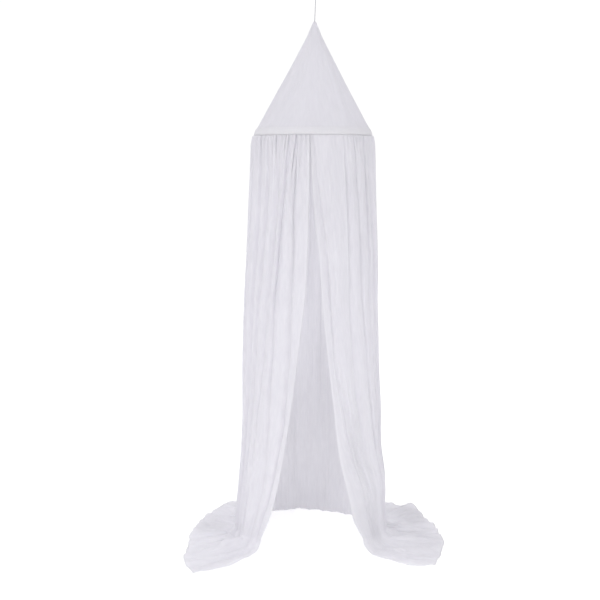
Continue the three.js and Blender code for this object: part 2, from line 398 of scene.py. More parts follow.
def twistAlong(bm, grooveShadeLayer, path):
    shape = hangingCord
    radius = shape["diameter"] / 2
    ring = bmesh.ops.create_circle(bm, cap_ends=False, segments=shape["sides"], radius=radius)["verts"]
    side = Vector((0, 1, 0))
    travelled = 0.0
    rings = []
    for index, point in enumerate(path):
        ahead = path[min(index + 1, len(path) - 1)] - path[max(index - 1, 0)]
        ahead.normalize()
        side = (side - ahead * side.dot(ahead)).normalized()
        up = ahead.cross(side)
        if index:
            travelled += (point - path[index - 1]).length
            made = bmesh.ops.extrude_edge_only(bm, edges=ringEdges(ring))["geom"]
            twins = {v for v in made if isinstance(v, bmesh.types.BMVert)}
            ring = [next(e.other_vert(v) for e in v.link_edges if e.other_vert(v) in twins) for v in ring]
        for step, vert in enumerate(ring):
            angle = step / shape["sides"] * math.tau
            turn = angle - travelled / shape["twist"] * math.tau
            bulge = abs(math.cos(turn * shape["strands"] / 2))
            reach = radius * blendValue(0.8, 1.0, bulge**0.7)
            vert.co = point + (side * math.cos(angle) + up * math.sin(angle)) * reach
            # The valley attribute marks painted shade: 1 in the grooves between the strands, 0 on their
            # crests.
            vert[grooveShadeLayer] = 1 - bulge
        rings.append(ring)
    for end in (rings[0], rings[-1]):
        bmesh.ops.contextual_create(bm, geom=[*end, *ringEdges(end)])


def twistedTube(name, paths, material, slotName, *nodes):
    bm = bmesh.new()
    grooveShadeLayer = bm.verts.layers.float.new("valley")
    for path in paths:
        twistAlong(bm, grooveShadeLayer, path)
    bmesh.ops.recalc_face_normals(bm, faces=bm.faces)
    return makePiece(name, bm, material, slotName, *nodes)


def aboveCord(across, up):  # a spot beside and above the cord's top end
    return inRoom(cordTop["right"] + across, 0, cordTop["height"] + up)


def knotPaths():  # the wraps, and the loop's two legs running down through them to the cord
    shape = knotShape
    rise = shape["height"] - hangingCord["diameter"]
    foot = hangingCord["gap"] + hangingCord["diameter"] / 2
    wraps = []
    for step in range(shape["steps"] + 1):
        share = step / shape["steps"]
        angle = share * shape["turns"] * math.tau
        reach = shape["reach"] * (1 - shape["taper"] * abs(2 * share - 1) ** 3)
        offset = Vector((math.cos(angle) * reach, math.sin(angle) * reach, share * rise))
        wraps.append(aboveCord(0, foot) + offset)
    paths = [curveThrough(wraps, hangingCord["step"])]
    for side in (-1, 1):
        bottom = aboveCord(side * knotLegs["low"], knotLegs["clear"])
        middle = aboveCord(side * knotLegs["middle"], loopFoot - knotLegs["middleDrop"])
        spread = loopShape["footSpread"] - knotLegs["topInset"]
        top = aboveCord(side * spread, loopFoot - knotLegs["clear"])
        paths.append(curveThrough([bottom, middle, top], hangingCord["step"]))
    return paths


def loopPath():
    halfWidth = (loopShape["width"] - hangingCord["diameter"]) / 2
    outline = [(loopShape["footSpread"], 0.0)]
    outline += [(halfWidth * across, up * loopShape["height"]) for across, up in loopShape["outline"]]
    left = [aboveCord(-across, loopFoot + up) for across, up in outline]
    right = [aboveCord(across, loopFoot + up) for across, up in outline]
    return curveThrough([*left, *right[-2::-1]], hangingCord["step"])


def makeCordPieces(material):
    shape = hangingCord
    start = inRoom(tipSpot["right"], 0, tipSpot["height"] + shape["gap"])
    end = aboveCord(0, 0)
    steps = round(shape["length"] / shape["step"])
    path = [start.lerp(end, step / steps) for step in range(steps + 1)]
    cordPiece = twistedTube("hangingCord", [path], material, "cord_cotton", "cord")
    knotPiece = twistedTube("loopKnot", knotPaths(), material, "cord_cotton", "knot")
    loopPiece = twistedTube("hangingLoop", [loopPath()], material, "cord_cotton", "loop")


makeCordPieces(makeCordMaterial())
print("cord, knot and loop made")

# The skirt's wall from the seam down: crest radius at the front and sides and at the back, the centre's shift
# to the right, the angles of the opening's edges from the front, and the folds' depth.
wallColumns = ("height", "radius", "back", "shift", "right", "left", "depth")
wallSections = [
    dict(zip(wallColumns, row))
    for row in (
        (1.7552, 0.2538, 0.2538, 0, -2.45, -2.6, 0.001),
        (1.751, 0.2566, 0.2566, 0, -2.45, -2.6, 0.001),
        (1.744, 0.2586, 0.2586, 0, -2.4, -2.6, 0.004),
        (1.715, 0.264, 0.264, 0, -2.2, -2.7, 0.009),
        (1.6, 0.27, 0.27, 0, -1.3, -2.8, 0.014),
        (1.44, 0.278, 0.277, -0.001, 1.5, -3.2, 0.018),
        (1.24, 0.289, 0.285, -0.002, 5.9, -4.2, 0.019),
        (1.06, 0.295, 0.29, -0.006, 9.0, -5.6, 0.02),
        (0.86, 0.3005, 0.293, -0.006, 13.2, -10.7, 0.021),
        (0.64, 0.305, 0.295, -0.007, 18.4, -15.8, 0.023),
        (0.42, 0.311, 0.297, -0.008, 23.7, -22.5, 0.025),
        (0.25, 0.333, 0.294, 0.002, 28.1, -29.5, 0.026),
        (0.14, 0.34, 0.29, -0.002, 33.4, -34.0, 0.026),
        (0.036, 0.348, 0.286, 0, 43.0, -42.6, 0.026),
    )
]
seamTop = wallSections[0]["height"]
sectionsPerMetre = 1000
bend = {"front": 0.058, "back": 0.014, "reach": 0.3}
pull = {"reach": 0.42, "power": 1.6, "right": -1.8, "left": -3.2}  # the last two: the edges' undrawn angles

# Folds from the opening's right edge round the back to its left edge: width in degrees at the hoop, depth
# as a share of the section's, and how far the valley before it wanders sideways.
folds = [
    (9, 0.4, 0), (22.5, 0.55, 0), (11, 0.62, 0), (13, 0.68, 1), (8, 0.55, 2),
    (12, 1, 0.5), (10, 0.7, -1.5), (12, 0.9, 1), (15, 0.7, -1), (9, 0.8, 1.5), (13, 0.55, 0),
    (11, 0.5, -2), (16, 0.35, 1), (10, 0.3, 0), (14, 0.4, 1.5), (12, 0.3, -1), (9, 0.4, 0.5),
    (15, 0.35, -1.5), (11, 0.5, 1), (13, 0.6, 2), (10.3, 0.85, 0), (16, 0.75, -1), (12, 0.9, 1),
    (9, 0.6, -1), (13, 1, 1.5), (10, 0.65, -0.5), (11, 0.72, -2), (13.5, 0.85, 0), (8, 0.6, 0),
    (10.3, 0.55, 0),
]
foldsWhole = sum(width for width, _, _ in folds)
foldStarts = [sum(width for width, _, _ in folds[:index]) / foldsWhole for index in range(len(folds) + 1)]
foldShape = {
    "power": 1.05, "skew": 0.3, "mean": 0.6, "swell": 0.3, "follow": 9,
    "frontReach": 5, "frontFade": 2, "frontCalm": 0.42, "calmHeights": (1.25, 0.55),
    "backCalm": 0.45, "backHeights": (0.9, 0.1),
    "footSkew": 0.055, "footHeights": (0.5, 0.05),
}

# The valleys beside the opening run their own way: their angle from the front at each of these heights.
valleyHeights = [1.74, 1.6, 1.45, 1.3, 1.15, 1.0, 0.85, 0.7, 0.55, 0.4, 0.25, 0.12, 0.05]
frontValleys = {
    1: [0.7, 3.7, 8.3, 12.3, 15.0, 17.6, 20.0, 24.5, 31.0, 37.9, 44.0, 49.3, 52.5],
    2: [30.9, 32.0, 33.5, 34.1, 34.6, 35.9, 38.4, 41.8, 46.4, 52.0, 59.0, 61.0, 63.0],
    3: [40.6, 44.0, 46.5, 46.7, 48.3, 50.8, 54.4, 58.5, 65.0, 73.0, 76.0, 78.0, 79.0],
    4: [53.3, 56.5, 59.5, 60.5, 61.5, 63.0, 66.0, 70.0, 76.0, 83.0, 86.5, 88.0, 89.0],
    27: [-33.7, -33.0, -34.0, -36.3, -38.2, -41.5, -43.4, -46.6, -51.5, -56.0, -60.0, -63.0, -66.0],
    28: [-20.4, -25.3, -28.3, -30.3, -32.3, -34.0, -34.2, -36.8, -37.8, -40.1, -44.0, -49.9, -54.0],
    29: [-13.6, -16.0, -17.8, -16.7, -17.1, -18.2, -18.8, -21.0, -23.3, -28.3, -35.2, -42.3, -47.0],
}

# How deep each valley is pinched in, from the hoop down to the floor, and the ridge beside it: the side it is
# on and its height.
pinchHeights = [1.72, 1.6, 1.35, 1.05, 0.8, 0.5, 0.2]
pinches = {
    1: [0.001, 0.002, 0.003, 0.004, 0.002, 0.001, 0],
    2: [0.002, 0.004, 0.003, 0.001, 0.003, 0.008, 0.007],
    3: [0.001, 0.001, 0.002, 0.003, 0.003, 0.003, 0.001],
    4: [0.001, 0.001, 0.002, 0.002, 0.002, 0.002, 0],
    25: [0.004, 0.006, 0.005, 0.003, 0.002, 0, 0],
    27: [0.004, 0.004, 0.001, 0.001, 0.002, 0.002, 0.001],
    28: [0.003, 0.005, 0.005, 0.004, 0.004, 0.005, 0.003],
    29: [0.004, 0.009, 0.009, 0.006, 0.005, 0.008, 0.006],
}
ridges = {
    1: (1, [0, 0, 0.003, 0.002, 0, 0, 0]),
    2: (-1, [0.001, 0.004, 0.004, 0.003, 0.002, 0.002, 0.002]),
    3: (-1, [0, 0.001, 0.004, 0.004, 0.003, 0.004, 0.004]),
    29: (1, [0.001, 0.003, 0.003, 0.003, 0.002, 0.001, 0]),
}
pinch = {
    "usual": [0.002, 0.003, 0.004, 0.004, 0.003, 0.002, 0.001],
    "width": 0.0055, "widest": 0.011, "wideValley": 2, "wideHeights": (1.35, 0.8),
    "ridgeAway": 0.0105, "backEase": 0.6,
}

hemOutline = [
    (0.502, -0.424), (0.536, -0.305), (0.57, -0.15), (0.56, 0.03), (0.523, 0.17), (0.487, 0.352),
    (0.428, 0.343), (0.345, 0.402), (0.12, 0.436), (-0.1, 0.432), (-0.29, 0.41), (-0.412, 0.374),
    (-0.478, 0.243), (-0.525, 0.082), (-0.541, -0.08), (-0.538, -0.23), (-0.532, -0.38), (-0.478, -0.498),
]
trail = {
    "bowRight": 0.054, "bowLeft": 0.044, "bowReach": 0.16,
    "scallop": 0.004, "crestShare": 0.3, "spacing": 0.004,
    "bendLift": 0.75, "hemLift": 0.3, "backFlat": 0.85,
}

skirt = {
    "columns": 480, "wallRows": 76, "bendRows": 8, "trailRows": 18,
    "crowding": 0.86,  # closer rows under the hoop, where the gathers are
    "thickness": 0.0009, "floorGap": 0.0001, "flatWidth": 2.45, "flatLength": 2.1,
    "hemWidth": 0.012, "hemFade": (0.8, 1.1), "hemRise": 0.0009, "hemWaver": 0.005, "seamInset": 2,
}

# The gathers are flatter to the right of the opening. Each step says how much livelier they get between two
# shares of the way round the skirt, and the flat spot how much flatter they are round one share.
gathers = {
    "count": 96, "depth": 0.008, "sharpness": 0.8, "middle": 1.25,
    "start": 0.02, "fade": 0.145, "fadeSwing": 1.1, "shortest": 0.05,
    "least": 0.2, "steps": [(0.45, 0.07, 0.11), (0.35, 0.25, 0.4), (0.5, 0.95, 0.965)],
    "flatSpot": (0.35, 0.938, 0.012),
    "vigour": 0.75, "vigourSwing": 0.8,
}
wrinkles = {
    "depth": 0.0046,
    "streaks": [(0.8, 14, 1.4, 5), (0.55, 34, 2.2, 6), (0.45, 80, 4.0, 7)],  # share, across, along, seed
    "low": 0.6, "lowRight": 1.4, "lowRange": (0.9, 1.3), "rightRange": (0.35, 0.2),
    "edgeShare": 0.55, "edgeReach": 0.06,
}
crumples = {"depth": 0.009, "long": 1.5, "short": 0.7, "tiny": 0.3, "leadRows": 4, "backRows": 9, "back": 0.9}

# Creases pressed into the cloth lying on the floor: the line in metres right of the axis and back of it,
# then the depth, less than nothing for a ridge, and the width.
floorCreases = [
    ([(-0.345, 0.01), (-0.325, -0.022), (-0.302, -0.062)], 0.018, 0.009),
    ([(-0.385, -0.03), (-0.345, -0.084), (-0.312, -0.13)], 0.016, 0.013),
    ([(-0.4, -0.226), (-0.345, -0.2), (-0.3, -0.176)], -0.02, 0.018),
    ([(-0.389, -0.3), (-0.345, -0.268), (-0.318, -0.24)], 0.01, 0.014),
    ([(-0.463, 0.219), (-0.416, 0.22), (-0.37, 0.234)], 0.008, 0.016),
    ([(-0.488, 0.043), (-0.429, 0.043), (-0.361, 0.057)], 0.01, 0.022),
    ([(-0.454, 0.123), (-0.372, 0.137)], -0.008, 0.018),
    ([(0.318, -0.112), (0.344, -0.075), (0.381, -0.048), (0.45, -0.034), (0.52, -0.06)], 0.014, 0.012),
    ([(0.372, -0.112), (0.41, -0.096), (0.463, -0.084), (0.525, -0.098)], -0.013, 0.015),
    ([(0.372, 0.03), (0.402, 0.07), (0.44, 0.09)], -0.014, 0.016),
    ([(0.403, -0.042), (0.452, -0.036), (0.509, -0.047)], 0.01, 0.014),
    ([(0.352, 0.119), (0.395, 0.133), (0.452, 0.147)], 0.012, 0.02),
    ([(0.332, -0.219), (0.432, -0.206)], 0.006, 0.01),
    ([(0.325, -0.265), (0.423, -0.252)], 0.006, 0.01),
    ([(0.317, -0.31), (0.433, -0.286)], 0.006, 0.012),
    ([(0.322, -0.354), (0.441, -0.331)], 0.005, 0.012),
]

# Painted shade and painted light in what comes through the cloth: the usual share of the dimmer through
# colour, and more of it (painted shade) or less of it (painted light, where the strength is below nothing)
# round some places, each with its centre, reach and strength.
usualPaintedShade = 0.34
paintedShadeAndLight = [
    ((0.225, -0.25, 0.09), (0.12, 0.13, 0.14), 0.45),
    ((0.17, -0.27, 0.3), (0.1, 0.12, 0.17), 0.32),
    ((0.465, 0.2, 0.01), (0.075, 0.14, 0.1), 0.62),
    ((0.5, -0.13, 0.0), (0.13, 0.22, 0.1), 0.28),
    ((-0.455, 0.07, 0.01), (0.08, 0.13, 0.1), 0.32),
    ((0.02, 0.29, 0.14), (0.3, 0.09, 0.48), 0.36),
    ((0.0, 0.27, 1.3), (0.3, 0.1, 0.46), -0.28),
    ((0.075, 0.29, 0.72), (0.06, 0.1, 0.3), 0.2),
    ((-0.035, 0.29, 0.86), (0.045, 0.1, 0.2), -0.18),
    ((0.03, -0.26, 1.56), (0.16, 0.09, 0.24), 0.18),
    ((0.2, -0.16, 1.55), (0.07, 0.12, 0.3), 0.22),
]


def paintedShadeAndLightAt(spot):
    total = usualPaintedShade
    for centre, reach, strength in paintedShadeAndLight:
        away = sum(((at - middle) / size) ** 2 for at, middle, size in zip(spot, centre, reach))
        total += strength * math.exp(-(away**2))
    return min(1.0, max(0.0, total))


def sectionAt(height):
    rows = wallSections
    last = len(rows) - 1
    index = next((i for i in range(last) if rows[i + 1]["height"] <= height), last - 1)
    near = rows[max(index - 1, 0)], rows[index], rows[index + 1], rows[min(index + 2, last)]
    span = near[2]["height"] - near[1]["height"]
    t = min(1.0, (height - near[1]["height"]) / span)
    found = {}
    for key in wallColumns[1:]:
        slopes = []
        for low, high in ((0, 2), (1, 3)):
            gap = near[high]["height"] - near[low]["height"]
            slopes.append((near[high][key] - near[low][key]) / gap * span)
        found[key] = hermite(near[1][key], slopes[0], near[2][key], slopes[1], t)
    return found


sections = [sectionAt(step / sectionsPerMetre) for step in range(int(seamTop * sectionsPerMetre))]


def wallAngle(share, section):
    angle = pull["right"] + share * (360 + pull["left"] - pull["right"])
    for side, away in (("right", share), ("left", 1 - share)):
        angle += (section[side] - pull[side]) * max(0, 1 - away / pull["reach"]) ** pull["power"]
    return angle


def listAt(height, heights, values):  # heights fall along the list
    if height >= heights[0]:
        return values[0]
    for high, low, start, end in zip(heights, heights[1:], values, values[1:]):
        if height >= low:
            even = (high - height) / (high - low)
            return blendValue(start, end, smoothStep(high, low, height) * 0.4 + even * 0.6)
    return values[-1]


def valleyAngle(index, height, section):
    if index == 0:
        return section["right"]
    if index == len(folds):
        return 360 + section["left"]
    if index in frontValleys:
        return listAt(height, valleyHeights, frontValleys[index]) % 360
    sway = folds[index][2] * math.sin(math.pi * (seamTop - height) / seamTop)
    angle = wallAngle(foldStarts[index] + sway / 360, section)
    for edge in (4, 27):  # the rest follow the last of those
        near = max(0, 1 - abs(index - edge) / foldShape["follow"])
        angle += (valleyAngle(edge, height, section) - wallAngle(foldStarts[edge], section)) * near**1.5
    return angle


def makeColumn(share):
    at = share * foldsWhole
    index = 0
    while index < len(folds) - 1 and at > folds[index][0]:
        at -= folds[index][0]
        index += 1
    width, depth, _ = folds[index]
    phase = min(1.0, at / width)
    turn = phase ** (1 + foldShape["skew"] * ripple(index * 1.7, 0.5, 3))
    if index == 0:
        turn = 0.5 + 0.5 * phase  # the cloth's edges stand out rather than dip
    if index == len(folds) - 1:
        turn = 0.5 * phase
    crest = depth * math.sin(math.pi * turn) ** foldShape["power"]
    return {"share": share, "index": index, "phase": phase, "crest": crest, "mean": depth * foldShape["mean"]}


def pinchAt(index, away, height, backness):  # how far a valley draws the wall in, less the ridge beside it
    depth = listAt(height, pinchHeights, pinches.get(index, pinch["usual"]))
    depth *= 1 - backness * pinch["backEase"]
    wider = smoothStep(*pinch["wideHeights"], height) if index == pinch["wideValley"] else 0
    drawn = depth * bell(away, blendValue(pinch["width"], pinch["widest"], wider))
    if index in ridges:
        side, heights = ridges[index]
        ridge = bell(away - side * pinch["ridgeAway"], pinch["width"])
        drawn -= listAt(height, pinchHeights, heights) * ridge
    return drawn


def wallPoint(column, height):
    shape = foldShape
    index = column["index"]
    section = sections[min(len(sections) - 1, round(height * sectionsPerMetre))]
    valleys = [(valley, valleyAngle(valley, height, section)) for valley in (index, index + 1)]
    angle = math.radians(blendValue(valleys[0][1], valleys[1][1], column["phase"]))
    backness = (1 - math.cos(angle)) / 2
    crestRadius = blendValue(section["radius"], section["back"], backness**3)
    skew = shape["footSkew"] * smoothStep(*shape["footHeights"], height)
    crestRadius -= skew * math.sin(angle) * backness**4
    swell = 1 + shape["swell"] * ripple(index * 2.3, height * 2.2, 8)
    fromFront = min(index, len(folds) - 1 - index)
    front = 1 - smoothStep(shape["frontReach"] - shape["frontFade"], shape["frontReach"], fromFront)
    front *= smoothStep(*shape["calmHeights"], height)
    calm = 1 - (1 - shape["frontCalm"]) * front  # flatter beside the opening
    crest = blendValue(column["mean"], column["crest"] * swell, calm)
    flatter = shape["backCalm"] * backness**2 * smoothStep(*shape["backHeights"], height)
    radius = crestRadius - section["depth"] * (1 - flatter) * (1 - crest)
    for valley, turn in valleys:
        if 0 < valley < len(folds):
            away = math.radians(math.degrees(angle) - turn) * radius
            radius -= pinchAt(valley, away, height, backness)
    return Vector((section["shift"] + radius * math.sin(angle), -radius * math.cos(angle), height))


def trailPath(column, footPoint, hemLine):
    share = column["share"]
    at = share * (len(hemLine) - 1)
    low = min(int(at), len(hemLine) - 2)
    hem = hemLine[low].lerp(hemLine[low + 1], at - low)
    start = Vector((footPoint.x, footPoint.y, 0))
    outward = hem - start
    waver = ripple(share * 60, 0.3, 14) + 0.5 * ripple(share * 150, 0.3, 15)
    waver *= 0.25 + 0.75 * abs(share * 2 - 1)  # steadier at the back
    further = trail["scallop"] * (column["crest"] - trail["crestShare"]) + skirt["hemWaver"] * waver
    hem = hem + outward.normalized() * further
    sideways = Vector((-outward.y, outward.x, 0)).normalized()
    nearRight, nearLeft = (max(0, 1 - away / trail["bowReach"]) ** 2 for away in (share, 1 - share))
    bow = trail["bowLeft"] * nearLeft - trail["bowRight"] * nearRight
    control = start.lerp(hem, 0.6) + sideways * 2 * bow
    return start, control, hem


def alongTrail(path, share):
    start, control, hem = path
    return start * (1 - share) ** 2 + control * 2 * share * (1 - share) + hem * share**2


def backShare(share):  # 1 across the back of the skirt, 0 at its front edges
    return smoothStep(0.3, 0.7, 1 - abs(2 * share - 1))


def columnPoints(column, hemLine):
    shape = skirt
    share = column["share"]
    near = max(0, 1 - min(share, 1 - share) / bend["reach"])
    bendTop = blendValue(bend["back"], bend["front"], near)
    points = []
    for row in range(shape["wallRows"]):
        t = row / shape["wallRows"]
        t *= 1 - shape["crowding"] + shape["crowding"] * t
        points.append(wallPoint(column, blendValue(seamTop, bendTop, t)))
    path = trailPath(column, wallPoint(column, bendTop), hemLine)
    bendShare = bendTop / (path[2] - path[0]).length
    lift = column["crest"] * wallSections[-1]["depth"] * (1 - trail["backFlat"] * backShare(share))
    for row in range(shape["bendRows"]):
        turn = row / shape["bendRows"] * math.pi / 2
        point = alongTrail(path, bendShare * (1 - math.cos(turn)))
        point.z = bendTop * (1 - math.sin(turn)) + lift * math.sin(turn) * trail["bendLift"]
        points.append(point)
    for row in range(shape["trailRows"] + 1):
        t = row / shape["trailRows"]
        point = alongTrail(path, blendValue(bendShare, 1, t))
        point.z = lift * blendValue(trail["bendLift"], trail["hemLift"], t)
        points.append(point)
    return points


def gatherRelief(share, down):  # down is the way down the cloth from the seam
    shape = gathers
    size = shape["least"] + sum(more * smoothStep(start, end, share) for more, start, end in shape["steps"])
    less, spot, reach = shape["flatSpot"]
    size -= less * bell(share - spot, reach)
    wobble = 0.55 * ripple(share * 31, down * 1.5, 21) + 0.9 * ripple(share * 9, 0.4, 22)
    at = share * shape["count"] + wobble
    gather = 2 * abs(math.sin(math.pi * at)) ** shape["sharpness"] - shape["middle"]
    vigour = min(1.0, shape["vigour"] + shape["vigourSwing"] * ripple(at * 0.77, 0.2, 23))
    fadeLength = shape["fade"] * (1 + shape["fadeSwing"] * ripple(at * 0.53, 0.7, 24))
    fade = math.exp(-max(0, down - shape["start"]) / max(shape["shortest"], fadeLength))
    return gather * shape["depth"] * fade * smoothStep(-0.012, 0.01, down) * size * vigour


def wrinkleRelief(share, down):  # long soft wrinkles, livelier near the floor
    shape = wrinkles
    across = share * skirt["flatWidth"]
    streaks = 0
    for part, wide, long, seed in shape["streaks"]:
        streaks += part * ripple(across * wide, down * long, seed)
    lively = shape["low"] + shape["lowRight"] * smoothStep(*shape["rightRange"], share)
    streaks *= 1 + lively * smoothStep(*shape["lowRange"], down)
    inward = smoothStep(0, shape["edgeReach"], min(share, 1 - share))
    return streaks * shape["depth"] * smoothStep(0.02, 0.25, down) * blendValue(shape["edgeShare"], 1, inward)


def crumpleRelief(share, down):  # crumples on the floor
    shape = crumples
    across = share * skirt["flatWidth"]
    long = abs(ripple(across * 16, down * 5, 11))
    short = ripple(across * 31 + down * 9, down * 21, 12)
    tiny = ripple(across * 70, down * 60, 13)
    return (shape["long"] * long + shape["short"] * short + shape["tiny"] * tiny) * shape["depth"]


def lineDistance(spot, line):  # how far a spot is from a line on the floor, and how near the line's ends
    best = (1, 0)
    whole = len(line) - 1
    for index, (start, end) in enumerate(zip(line, line[1:])):
        run = (end[0] - start[0], end[1] - start[1])
        size = run[0] ** 2 + run[1] ** 2
        t = ((spot.x - start[0]) * run[0] + (spot.y - start[1]) * run[1]) / size
        t = min(1.0, max(0.0, t))
        away = math.hypot(spot.x - start[0] - run[0] * t, spot.y - start[1] - run[1] * t)
        if away < best[0]:
            best = (away, (index + t) / whole)
    return best


def creaseAt(spot):
    depth = 0.0
    for line, deep, width in floorCreases:
        away, share = lineDistance(spot, line)
        if away < 3 * width:
            ends = smoothStep(0, 0.22, share) * smoothStep(1, 0.78, share)
            depth += deep * bell(away, width) * (0.25 + 0.75 * ends)
    return depth


def hemSeams(places, columnCount, rowCount):  # the stitched lines: down both front edges and along the hem
    verts = {place: vert for vert, place in places.items()}
    inset = skirt["seamInset"]
    right, left = ([(column, row) for row in range(rowCount)] for column in (inset, columnCount - 1 - inset))
    hem = [(column, rowCount - inset) for column in range(columnCount)]
    return [[(verts[at].co.copy(), verts[at].normal.copy()) for at in line] for line in (right, left, hem)]


def makeSkirt(material):
    shape = skirt
    rowCount = shape["wallRows"] + shape["bendRows"] + shape["trailRows"] + 1
    columnCount = shape["columns"]
    hemLine = curveThrough([Vector((right, back, 0)) for right, back in hemOutline], trail["spacing"])
    columns = [makeColumn(index / (columnCount - 1)) for index in range(columnCount)]
    grid = [columnPoints(column, hemLine) for column in columns]
    downs = []  # how far down the cloth each point is
    for points in grid:
        line = [0.0]
        for last, here in zip(points, points[1:]):
            line.append(line[-1] + (here - last).length)
        downs.append(line)
    bm = bmesh.new()
    uvLayer = bm.loops.layers.uv.new("cloth")
    hemLayer = bm.verts.layers.float.new("hem")
    paintedShadeAndLightLayer = bm.verts.layers.float.new("paintedShadeAndLight")
    bmesh.ops.create_grid(bm, x_segments=columnCount - 1, y_segments=rowCount - 1, size=1)
    places = {}
    for vert in bm.verts:
        column = round((vert.co.x + 1) / 2 * (columnCount - 1))
        row = round((1 - vert.co.y) / 2 * (rowCount - 1))
        places[vert] = (column, row)
        vert.co = inRoom(*grid[column][row])
    bm.normal_update()
    crumpleStart = shape["wallRows"] - crumples["leadRows"]
    bendEnd = shape["wallRows"] + shape["bendRows"]
    hemStart, hemEnd = (shape["hemWidth"] * share for share in shape["hemFade"])
    moves = {}
    for vert, (column, row) in places.items():
        spot = grid[column][row]
        down = downs[column][row]
        share = columns[column]["share"]
        fromEdge = min(share, 1 - share) * shape["flatWidth"]
        hem = 1 - smoothStep(hemStart, hemEnd, min(fromEdge, downs[column][-1] - down))
        vert[hemLayer] = hem
        # Painted shade and light: how much of the dimmer through colour this spot gets.
        vert[paintedShadeAndLightLayer] = paintedShadeAndLightAt(spot)
        calmBack = backShare(share) * (1 - smoothStep(bendEnd, bendEnd + crumples["backRows"], row))
        trailing = smoothStep(crumpleStart, bendEnd, row) * (1 - crumples["back"] * calmBack)
        relief = gatherRelief(share, down) + wrinkleRelief(share, down)
        if trailing > 0:
            relief += crumpleRelief(share, down) * trailing
        moves[vert] = vert.normal * (relief + hem * shape["hemRise"])
        if trailing > 0:
            moves[vert].z -= creaseAt(spot) * trailing
    lowest = floorLevel + shape["thickness"] / 2 + shape["floorGap"]
    for vert, move in moves.items():
        if places[vert][1]:
            vert.co += move
        vert.co.z = max(vert.co.z, lowest)
    for face in bm.faces:
        for loop in face.loops:
            column, row = places[loop.vert]
            loop[uvLayer].uv = (columns[column]["share"] * shape["flatWidth"], -downs[column][row])
    bm.normal_update()
    seams = hemSeams(places, columnCount, rowCount)
    piece = makePiece("clothSkirt", bm, material, "skirt_cloth", "skirt")
    addThickness(piece, shape["thickness"], 0)
    return piece, seams


stitch = {"pitch": 0.0042, "length": 0.0031, "radius": 0.00034, "lift": 0.0006, "sides": 5, "least": 0.00001}


def sewStitches(name, lines, material, slotName):
    bm = bmesh.new()
    for line in lines:
        wait = 0.0
        for (start, startNormal), (end, endNormal) in zip(line, line[1:]):
            along = end - start
            length = along.length
            if length < stitch["least"]:
                continue
            wait -= length
            while wait < 0:
                share = min(1.0, max(0.0, 1 + wait / length))
                spot = start.lerp(end, share)
                spot += startNormal.lerp(endNormal, share).normalized() * stitch["lift"]
                turn = along.to_track_quat("Z", "Y").to_matrix().to_4x4()
                bmesh.ops.create_cone(
                    bm,
                    cap_ends=True,
                    segments=stitch["sides"],
                    radius1=stitch["radius"],
                    radius2=stitch["radius"],
                    depth=stitch["length"],
                    matrix=Matrix.Translation(spot) @ turn,
                )
                wait += stitch["pitch"]
    return makePiece(name, bm, material, slotName)


skirtPiece, skirtSeams = makeSkirt(makeClothMaterial(skirtLook))
threadMaterial = makeThreadMaterial()
skirtThread = sewStitches("skirtStitches", skirtSeams, threadMaterial, "skirt_cloth")
print("skirt made")

# The crown is a cone of cloth whose hem turns up round the hoop as a casing.
crown = {
    "sections": [(2.23, 0.0045), (2.224, 0.0085), (2.196, 0.02), (2.148, 0.042), (2.0, 0.121)],
    "hoopHeight": 1.76, "hoopRadius": 0.2455, "thickness": 0.0009,
    "around": 288, "profileStep": 0.0006, "closeRows": 30, "closeStep": 0.0014, "openStep": 0.0092,
    "wrap": 0.007, "wrapSteps": 14, "flapGap": 0.0022, "flapSteps": 5,
    "casing": 0.027, "casingRise": 0.0007, "casingPuff": 0.0012,
    "casingFoot": 0.006, "casingEdge": (-0.0006, 0.001), "joint": 0.0012, "jointEdge": (0.018, 0.024),
    "seamInset": 0.003, "groove": 0.0001, "grooveWidth": 0.0011, "pucker": 0.0009, "puckerReach": 0.022,
    "slantLength": 0.51, "wrinkle": 0.0044, "slackMiddle": 0.3, "calmRadius": 0.05,
    "slack": [(1, 2.6, 0.8, 0), (0.4, 8.5, 1.5, 5), (0.2, 21, 2.5, 9)],  # share, waves round and up, offset
}

# Wrinkles pulled into the crown: angle from the front and height along each line, then depth and width.
crownCreases = [
    ([(-47.5, 2.067), (-44.3, 2.016), (-40.9, 1.948), (-39.5, 1.886)], 0.003, 0.01),
    ([(-38.6, 2.087), (-36.7, 2.032), (-34.0, 1.981), (-32.5, 1.926)], 0.003, 0.009),
    ([(13.4, 2.107), (8.8, 2.021), (6.2, 1.917)], 0.0022, 0.007),
    ([(0.0, 2.098), (0.9, 1.916)], 0.0018, 0.007),
    ([(-5.6, 1.917), (-3.6, 1.822)], 0.0022, 0.007),
    ([(45.9, 2.126), (44.6, 2.066), (42.1, 1.99), (40.4, 1.915), (37.5, 1.848), (33.8, 1.791)],
     -0.0035, 0.02),
    ([(56.9, 2.126), (54.6, 2.066), (52.1, 1.99), (50.4, 1.915), (47.5, 1.848), (43.8, 1.791)],
     0.0035, 0.018),
    ([(-67.1, 1.91), (-60.1, 1.826)], 0.0025, 0.01),
    ([(-51.5, 1.825), (-52.5, 1.79)], 0.0022, 0.009),
    ([(25.4, 1.917), (25.3, 1.88)], 0.0016, 0.008),
    ([(120.0, 2.1), (117.0, 1.98), (119.0, 1.85)], 0.003, 0.011),
    ([(160.0, 2.09), (163.0, 1.96), (160.0, 1.86)], 0.0025, 0.009),
    ([(-140.0, 2.08), (-143.0, 1.95), (-140.0, 1.84)], 0.003, 0.011),
    ([(-105.0, 2.06), (-103.0, 1.95), (-106.0, 1.88)], 0.0025, 0.01),
]
creaseEnds = {"spare": 0.01, "top": 0.05, "bottom": 0.03}


